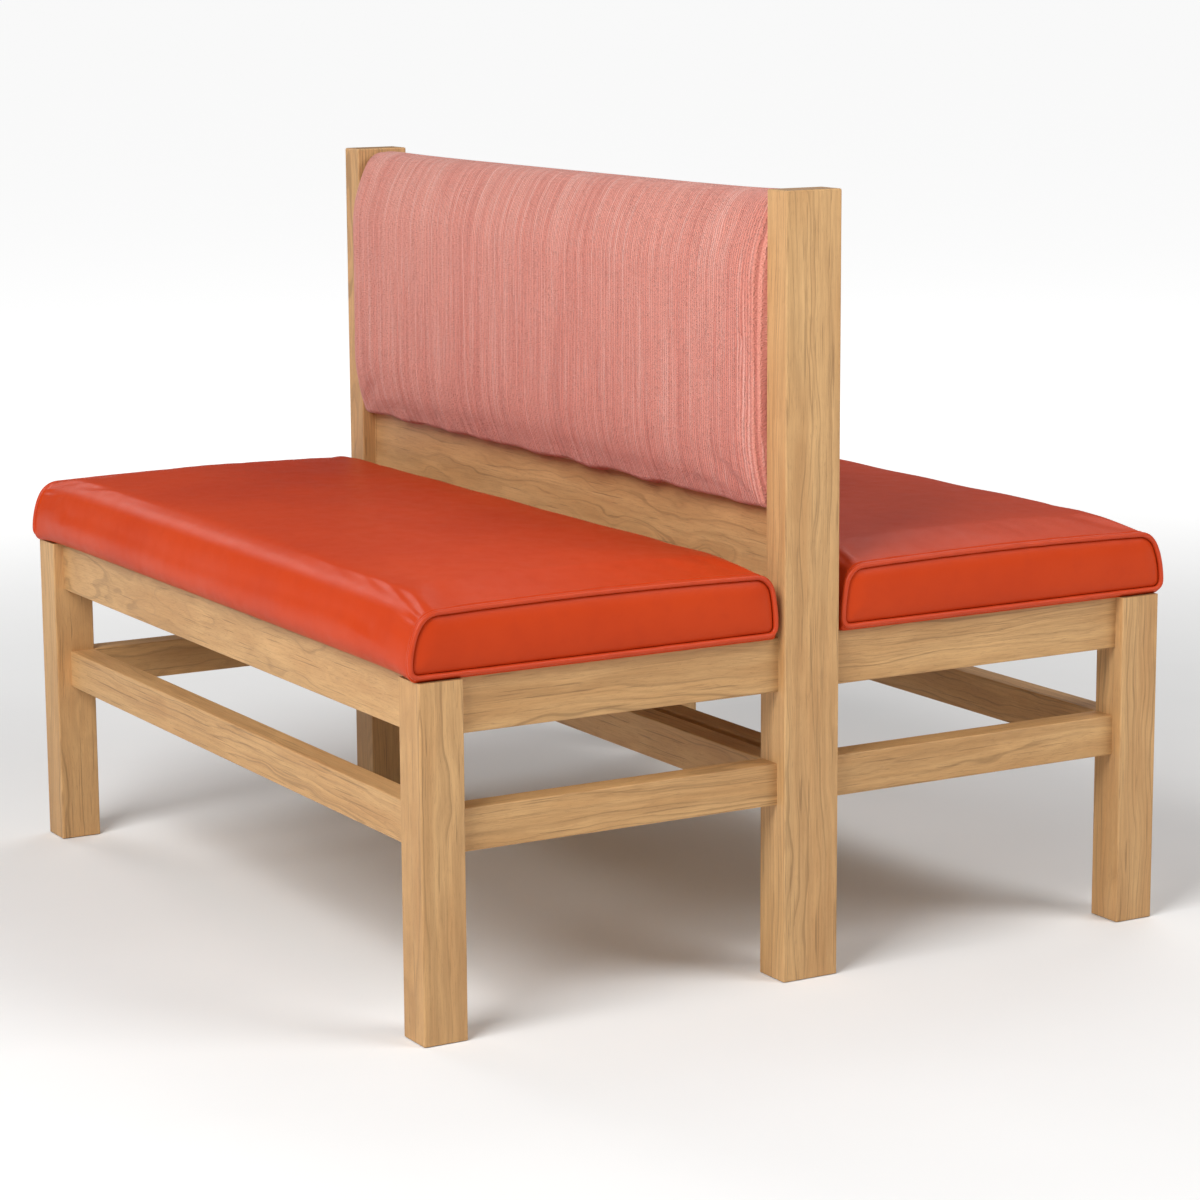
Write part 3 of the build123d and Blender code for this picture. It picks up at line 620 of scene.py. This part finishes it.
def smoother(piece):
    """One subdivision of the finished cover, applied."""
    modifier = piece.modifiers.new("smooth", "SUBSURF")
    modifier.levels = modifier.render_levels = 1
    evaluated = piece.evaluated_get(bpy.context.evaluated_depsgraph_get())
    mesh = bpy.data.meshes.new_from_object(evaluated)
    piece.modifiers.remove(modifier)
    piece.data = mesh


# Under the board the cover is open inside its stapled hem
hemmed = []
for face in cover_faces:
    centre = worked_points[list(face)].mean(0)
    inside_x = abs(centre[0]) < SEAM_X - SEAM_ALLOWANCE - HEM
    inside_y = SEAT_REAR + HEM < centre[1] < SEAT_FRONT + BULGE - FULL_TOE - HEM
    if not (inside_x and inside_y and centre[2] < SEAT_FLOOR + UNDERSIDE_REACH):
        hemmed.append(face)

seat_covers = {}
for side in SIDES:
    cover = mesh_piece(f"{side}_seat_cover", seat_side(worked_points, side), hemmed, vinyl)
    smoother(cover)
    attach(cover, "root")
    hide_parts(f"{side}_seat_wrap_panel", f"{side}_seat_foam")
    seat_covers[side] = cover


# End panels. Boxed vinyl panels sewn into both ends of each cushion, puffed out a little by the
# foam behind them.
PANEL_STEPS = (0.0, 0.012, 0.03, 0.055, 0.09, 0.14, 0.20, 0.28, 0.38, 0.50, 0.63, 0.80, 1.0)
PANEL_PUFF, PANEL_SINK = 0.0080, 0.0030
PUFF_STEEP, PUFF_ROUND = 2.6, 0.62
PANEL_TOE, PANEL_INSET, PANEL_BASE, PANEL_HEEL = 0.0080, 0.0038, 0.0080, 0.0070
WELD_REACH = 0.0004


def cushion_end(ring, x, outward):
    """An end panel inside a ring of seam points: rings that close on the panel's middle line,
    steep beside the seam and almost flat inside."""
    low, high = ring.min(0), ring.max(0)
    half = (high[1] - low[1]) / 2
    spine_z = low[1] + half
    spine = np.array([(min(max(y, low[0] + half), high[0] - half), spine_z) for y, _ in ring])
    points = []
    for share in PANEL_STEPS:
        rise = PANEL_PUFF * (1 - (1 - share) ** PUFF_STEEP) ** PUFF_ROUND
        for (y, z), (sy, sz) in zip(ring, spine):
            points.append((x + outward * rise, y + (sy - y) * share, z + (sz - z) * share))
    return np.array(points), rings_to_faces(len(PANEL_STEPS), len(ring))


def seat_ends(side):
    """Both ends of a seat and which way each faces before the left seat is turned half round."""
    turned = 1 if side == "right" else -1
    return (("near", turned), ("far", -turned))


seam_ring = seat_section(END_HEIGHT, END_CROWN, PANEL_TOE, PANEL_INSET, PANEL_BASE, PANEL_HEEL)
for side in SIDES:
    for end, outward in seat_ends(side):
        points, faces = cushion_end(seam_ring, outward * (SEAM_X - PANEL_SINK), outward)
        panel = mesh_piece(f"{end}_{side}_end_panel", seat_side(points, side), faces, vinyl)
        work = bmesh.new()
        work.from_mesh(panel.data)
        bmesh.ops.remove_doubles(work, verts=work.verts, dist=WELD_REACH)
        bmesh.ops.recalc_face_normals(work, faces=work.faces)
        work.to_mesh(panel.data)
        work.free()
        smoother(panel)
        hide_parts(f"{end}_{side}_seat_end_panel")
        panel.parent = seat_covers[side]


# Welt piping. A cord in a folded strip of the same vinyl, sewn into the seam all round each end
# panel.
piping_vinyl = seat_vinyl("piping_vinyl", 1300.0, 0.30)
PIPING = 0.0032
CORD_TOE, CORD_INSET, CORD_BASE, CORD_HEEL = 0.0107, 0.0013, 0.0055, 0.0098
CORD_POINTS, CORD_SIDES = 360, 14
CORD_LENGTH = 1.08
CORD_SWAY, CORD_UNEVEN = 0.18 * MM, 0.025


def tube(path, radius, sides, wobble):
    """A closed tube along a ring of points, its thickness a little uneven."""
    ahead_of = np.roll(path, -1, 0) - np.roll(path, 1, 0)
    ahead_of /= np.linalg.norm(ahead_of, axis=1)[:, None]
    across = np.tile(np.array([1.0, 0.0, 0.0]), (len(path), 1))
    out = np.cross(ahead_of, across)
    out /= np.linalg.norm(out, axis=1)[:, None]
    points = []
    for i, centre in enumerate(path):
        r = radius * (1 + wobble[i])
        for k in range(sides):
            angle = 2 * pi * k / sides
            points.append(centre + r * (cos(angle) * across[i] + sin(angle) * out[i]))
    faces = []
    for i in range(len(path)):
        j = (i + 1) % len(path)
        for k in range(sides):
            m = (k + 1) % sides
            faces.append((i * sides + k, i * sides + m, j * sides + m, j * sides + k))
    return points, faces


def evenly(ring, count):
    """A closed ring of points, spaced evenly."""
    closed = np.vstack([ring, ring[:1]])
    step = np.linalg.norm(np.diff(closed, axis=0), axis=1)
    run = np.concatenate([[0], np.cumsum(step)])
    at = np.linspace(0, run[-1], count, endpoint=False)
    return np.stack([np.interp(at, run, closed[:, k]) for k in range(closed.shape[1])], axis=1)


cord_line = seat_section(END_HEIGHT, END_CROWN, CORD_TOE, CORD_INSET, CORD_BASE, CORD_HEEL)
cord_ring = evenly(cord_line, CORD_POINTS)
round_cord = np.linspace(0, CORD_LENGTH, CORD_POINTS, endpoint=False)
for side in SIDES:
    for end, outward in seat_ends(side):
        uneven = waves(40 + outward, 6, 0.02, 0.09)(round_cord)
        sway = waves(50 + outward, 5, 0.03, 0.12)(round_cord)
        path = np.array([(outward * SEAM_X + CORD_SWAY * w, y, z) for (y, z), w in zip(cord_ring, sway)])
        points, faces = tube(path, PIPING, CORD_SIDES, CORD_UNEVEN * uneven)
        piping = mesh_piece(f"{end}_{side}_piping", seat_side(points, side), faces, piping_vinyl)
        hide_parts(f"{end}_{side}_seat_piping")
        piping.parent = seat_covers[side]


# Upholstered back. Foam on both plywood panels and over the top rail, under one length of ribbed
# fabric that runs up one side, over the top and down the other, drawn in and stapled below.
PAD_FLOOR, PAD_TOP, PAD_END = 0.549, 0.911, 0.5162
POST_FACE = 0.037
PAD_ROLL, PAD_TUCK = 0.0095, 0.0185
PAD_LEAN, SIDE_RADIUS, SHOULDER = radians(30), 0.180, 0.030
FOOT_TUCK, FOOT, FOLD, THINNEST_FOLD = radians(71), 0.270, 0.010, 0.001
TURNED_UNDER = 0.0192
END_BULGE, MIDDLE_BULGE, BULGE_REACH = 0.0150, 0.0205, 0.034
ROLL_TURNS = (0, 6, 14, 23, 32, 42, 52, 63, 75, 90)
BESIDE_ROLL = [0.013, 0.018, 0.024]
PAD_RINGS = 76
PAD_PRESSURE, PAD_SWELL = 2.0, 0.0025
TACKED_POINTS, POST_BAND = 3, 0.5 * MM


def pad_section(bulge, inset):
    """Half of the back's section, from the fold under the side to the middle of the top."""
    side_radius, shoulder = SIDE_RADIUS - inset, SHOULDER - inset
    foot, fold = FOOT - inset, max(THINNEST_FOLD, FOLD - inset)
    widest = POST_FACE + bulge - inset
    crest, under = PAD_TOP - inset, PAD_FLOOR + inset
    flat = widest - fold * sin(FOOT_TUCK) - foot * (1 - sin(FOOT_TUCK))
    side_top = crest - side_radius * sin(PAD_LEAN) - shoulder * (1 - sin(PAD_LEAN))
    points = [np.array([TURNED_UNDER, under])]
    line(points, (flat, under), 5)
    heading = arc(points, 0.0, fold, FOOT_TUCK, 8)
    heading = arc(points, heading, foot, pi / 2 - FOOT_TUCK, 14)
    line(points, (widest, side_top), 22)
    heading = arc(points, heading, side_radius, PAD_LEAN, 16)
    arc(points, heading, shoulder, pi / 2 - PAD_LEAN, 8)
    line(points, (0.0, crest), 5)
    return np.array(points)


def pad_draw(gap):
    """Bulge and inset of the back at a distance from the post. Its ends roll in against the post."""
    broad = min(1.0, gap / BULGE_REACH)
    bulge = END_BULGE + (MIDDLE_BULGE - END_BULGE) * sin(broad * pi / 2)
    rolled = max(0.0, 1 - gap / PAD_ROLL)
    return bulge, PAD_TUCK * (1 - sqrt(max(0.0, 1 - rolled ** 2)))


gaps = [PAD_ROLL * (1 - cos(radians(turn))) for turn in ROLL_TURNS] + BESIDE_ROLL
pad_places = [PAD_END - g for g in gaps]
pad_places += list(np.linspace(pad_places[-1], 0.0, PAD_RINGS)[1:])
pad_places = np.array([-x for x in pad_places] + [x for x in pad_places[::-1][1:]])
pad_points = []
for x in pad_places:
    half = pad_section(*pad_draw(PAD_END - abs(x)))
    whole = np.vstack([half, (half[:-1] * np.array([-1, 1]))[::-1]])
    pad_points += [(x, y, z) for y, z in whole]
PAD_RING = len(pad_points) // len(pad_places)
pad_points = np.array(pad_points)
pad_faces = rings_to_faces(len(pad_places), PAD_RING, closed=False)
order = np.tile(np.arange(PAD_RING), len(pad_places))
tacked = (order < TACKED_POINTS) | (order >= PAD_RING - TACKED_POINTS)
at_post = np.abs(pad_points[:, 0]) > PAD_END - POST_BAND


CORD_PITCH = 0.0039
PINK_DEEP, PINK = (0.830, 0.305, 0.232, 1), (0.880, 0.370, 0.288, 1)
PALE_STREAK, DARK_STREAK = (0.96, 0.53, 0.45, 1), (0.60, 0.180, 0.138, 1)
# The last two colours are painted shade, for the furrows between the cords and the dips between the cross
# threads.
SLUB_PINK, FURROW_SHADE, THREAD_SHADE = (0.92, 0.56, 0.49, 1), (0.46, 0.130, 0.100, 1), (0.50, 0.160, 0.125, 1)


def ribbed_fabric(name):
    """Salmon pink ribbed cloth: uneven cords up the back, bound by fine cross threads."""
    material, tree, skin = finish(name, 0.88)
    place = put(tree, "TexCoord", {}).outputs["Object"]
    across = put(tree, "SeparateXYZ", {0: place}).outputs[0]
    run = put(tree, "Attribute", {}, attribute_name="run").outputs["Fac"]
    cloth = put(tree, "CombineXYZ", {0: across, 1: run, 2: 0.0}).outputs[0]

    drift = noise(tree, stretch(tree, cloth, 70.0, 3.0, 1.0), 1.0, 2.0)
    shifted = maths(tree, "ADD", across, maths(tree, "MULTIPLY", drift, 0.0050))
    rib = maths(tree, "SINE", maths(tree, "MULTIPLY", shifted, 2 * pi / CORD_PITCH))
    rib = band(tree, rib, -1.0, 0.7)
    streak = noise(tree, stretch(tree, cloth, 150.0, 3.5, 1.0), 1.0, 3.0, 0.6)
    slub = noise(tree, stretch(tree, cloth, 260.0, 11.0, 1.0), 1.0, 2.0, 0.6)
    wide = noise(tree, stretch(tree, cloth, 16.0, 1.2, 1.0), 1.0, 2.0)
    knots = put(tree, "TexVoronoi", {"Vector": stretch(tree, cloth, 620.0, 560.0, 1.0), "Scale": 1.0})
    knot = band(tree, knots.outputs["Distance"], 0.1, 0.7)

    colour = mix(tree, band(tree, wide, 0.35, 0.65), PINK_DEEP, PINK)
    colour = mix(tree, band(tree, streak, 0.50, 0.70, 0.0, 0.85), colour, PALE_STREAK)
    colour = mix(tree, band(tree, streak, 0.50, 0.30, 0.0, 0.75), colour, DARK_STREAK)
    colour = mix(tree, band(tree, slub, 0.54, 0.74, 0.0, 0.60), colour, SLUB_PINK)
    # Painted shade: the furrows between the cords and the dips between the cross threads are darkened,
    # following their bumps.
    colour = mix(tree, band(tree, rib, 0.55, 0.0, 0.0, 0.62), colour, FURROW_SHADE)
    colour = mix(tree, maths(tree, "MULTIPLY", knot, 0.46), colour, THREAD_SHADE)
    tree.links.new(colour, skin.inputs["Base Color"])

    height = maths(tree, "ADD", maths(tree, "MULTIPLY", rib, 0.55), maths(tree, "MULTIPLY", slub, 0.35))
    cords = relief(tree, height, 0.0015)
    threads = maths(tree, "SUBTRACT", 1.0, knot)
    tree.links.new(relief(tree, threads, 0.0007, cords), skin.inputs["Normal"])
    skin.inputs["Sheen Weight"].default_value = 0.18
    skin.inputs["Sheen Roughness"].default_value = 0.5
    skin.inputs["Specular IOR Level"].default_value = 0.25
    return material


back_fabric = ribbed_fabric("back_fabric")
bare_pad = mesh_piece("back_in_work", pad_points, pad_faces, back_fabric)
pad_swell = stuffed(bare_pad, np.where(tacked | at_post)[0], PAD_PRESSURE, PAD_SWELL)
bpy.data.objects.remove(bare_pad)
pad_grid = (pad_points + pad_swell).reshape(len(pad_places), PAD_RING, 3)

# The staples pull the lower edge into faint scallops, and the foam is a little uneven everywhere
SCALLOP, SCALLOP_REACH = 1.6 * MM, 0.014
PULL, PULL_REACH = 0.9 * MM, 0.045
LAP_WIDTH, END_CALM = 0.020, 0.030
PAD_UNEVEN, PAD_UNEVEN_CALM, SIDE_STARTS = 0.7 * MM, 0.06, 0.030
for seed, sign in ((61, 1), (62, -1)):
    lap = np.clip(sign * pad_grid[:, :, 1] / LAP_WIDTH, 0, 1)
    calm = np.clip((PAD_END - np.abs(pad_grid[:, :, 0])) / END_CALM, 0, 1)
    low_down = np.exp(-np.maximum(0.0, pad_grid[:, :, 2] - PAD_FLOOR) / SCALLOP_REACH)
    scallop = waves(seed, 6, 0.05, 0.17)(pad_grid[:, :, 0])
    pad_grid[:, :, 2] += SCALLOP * scallop * lap * low_down * calm
    low_down = np.exp(-np.maximum(0.0, pad_grid[:, :, 2] - PAD_FLOOR) / PULL_REACH)
    pulled = waves(seed + 5, 6, 0.03, 0.09)(pad_grid[:, :, 0])
    pad_grid[:, :, 1] -= sign * PULL * pulled * lap * low_down * calm
slow = waves(66, 6, 0.12, 0.45)(pad_grid[:, :, 0]) * waves(67, 4, 0.15, 0.4)(pad_grid[:, :, 2])
away = np.clip((PAD_END - np.abs(pad_grid[:, :, 0])) / PAD_UNEVEN_CALM, 0, 1)
on_side = np.sign(pad_grid[:, :, 1]) * (np.abs(pad_grid[:, :, 1]) > SIDE_STARTS)
pad_grid[:, :, 1] += PAD_UNEVEN * slow * away * on_side

back = mesh_piece("back_upholstery", pad_grid.reshape(-1, 3), pad_faces, back_fabric)
steps = np.linalg.norm(np.diff(pad_grid, axis=1), axis=2)
runs = np.concatenate([np.zeros((len(pad_places), 1)), np.cumsum(steps, axis=1)], axis=1)
runs = np.tile(runs[len(pad_places) // 2], (len(pad_places), 1))
run_length = back.data.attributes.new("run", "FLOAT", "POINT")
run_length.data.foreach_set("value", runs.reshape(-1).astype(np.float32))
smoother(back)
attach(back, "root")
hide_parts("back_cover", "left_back_foam", "right_back_foam", "back_top_foam")
